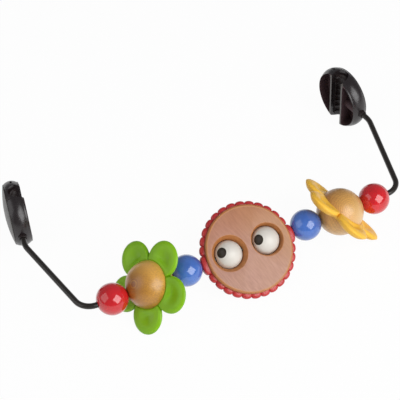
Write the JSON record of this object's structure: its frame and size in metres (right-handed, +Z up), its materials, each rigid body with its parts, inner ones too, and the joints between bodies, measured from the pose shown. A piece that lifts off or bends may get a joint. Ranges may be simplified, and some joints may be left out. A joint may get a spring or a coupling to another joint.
{
  "type": "bouncer toy bar",
  "caption": "Bent wire toy bar for a baby bouncer, with turning beads, wooden-centred flowers and a googly wooden face disc, and a round rail clip on each end.",
  "frame": {"origin": "on the table under the middle of the toy's box, which lies on its clips, flowers and face disc", "axes": "+X along the bar, towards the yellow flower; +Y along the arms, from the bar to the clips; +Z up"},
  "size_m": [0.3838, 0.2158, 0.0671],
  "materials": {
    "wire_black": "satin",
    "clip_black": "satin",
    "rubber_black": "matt",
    "bead_red": "gloss lacquer",
    "bead_blue": "gloss lacquer",
    "ball_wood": "clear lacquer",
    "disc_wood": "waxed",
    "ring_red": "gloss",
    "petal_green": "semi-gloss",
    "petal_yellow": "semi-gloss",
    "eye_white": "gloss lacquer",
    "pupil_dark": "satin"
  },
  "bodies": {
    "frame": {"bar_wire": "wire_black", "clip_body_left": "clip_black", "clip_cover_left": "clip_black", "clip_grip_left": "rubber_black", "wire_grommet_left": "rubber_black", "clip_body_right": "clip_black", "clip_cover_right": "clip_black", "clip_grip_right": "rubber_black", "wire_grommet_right": "rubber_black"},
    "left_red": {"red_bead_left": "bead_red"},
    "left_flower": {"flower_ball_left": "ball_wood", "green_flower": "petal_green"},
    "left_blue": {"blue_bead_left": "bead_blue"},
    "face": {"face_disc": "disc_wood", "scalloped_ring": "ring_red"},
    "left_eye": {"eye_left": "eye_white", "pupil_left": "pupil_dark"},
    "right_eye": {"eye_right": "eye_white", "pupil_right": "pupil_dark"},
    "right_blue": {"blue_bead_right": "bead_blue"},
    "right_flower": {"flower_ball_right": "ball_wood", "yellow_flower": "petal_yellow"},
    "right_red": {"red_bead_right": "bead_red"}
  },
  "joints": [
    {"name": "left_red_spin", "type": "hinge", "parent": "frame", "child": "left_red", "pos_m": [-0.13555, -0.06349, 0.03086], "axis": [1, 0, 0], "continuous": true},
    {"name": "left_flower_spin", "type": "hinge", "parent": "frame", "child": "left_flower", "pos_m": [-0.09866, -0.06349, 0.03086], "axis": [1, 0, 0], "continuous": true},
    {"name": "left_blue_spin", "type": "hinge", "parent": "frame", "child": "left_blue", "pos_m": [-0.06176, -0.06349, 0.03086], "axis": [1, 0, 0], "continuous": true},
    {"name": "face_spin", "type": "hinge", "parent": "frame", "child": "face", "pos_m": [0, -0.06349, 0.03086], "axis": [1, 0, 0], "continuous": true},
    {"name": "left_eye_spin", "type": "hinge", "parent": "frame", "child": "left_eye", "pos_m": [-0.0187, -0.06349, 0.03086], "axis": [1, 0, 0], "continuous": true},
    {"name": "right_eye_spin", "type": "hinge", "parent": "frame", "child": "right_eye", "pos_m": [0.0197, -0.06349, 0.03086], "axis": [1, 0, 0], "continuous": true},
    {"name": "right_blue_spin", "type": "hinge", "parent": "frame", "child": "right_blue", "pos_m": [0.06176, -0.06349, 0.03086], "axis": [1, 0, 0], "continuous": true},
    {"name": "right_flower_spin", "type": "hinge", "parent": "frame", "child": "right_flower", "pos_m": [0.09866, -0.06349, 0.03086], "axis": [1, 0, 0], "continuous": true},
    {"name": "right_red_spin", "type": "hinge", "parent": "frame", "child": "right_red", "pos_m": [0.13555, -0.06349, 0.03086], "axis": [1, 0, 0], "continuous": true}
  ]
}
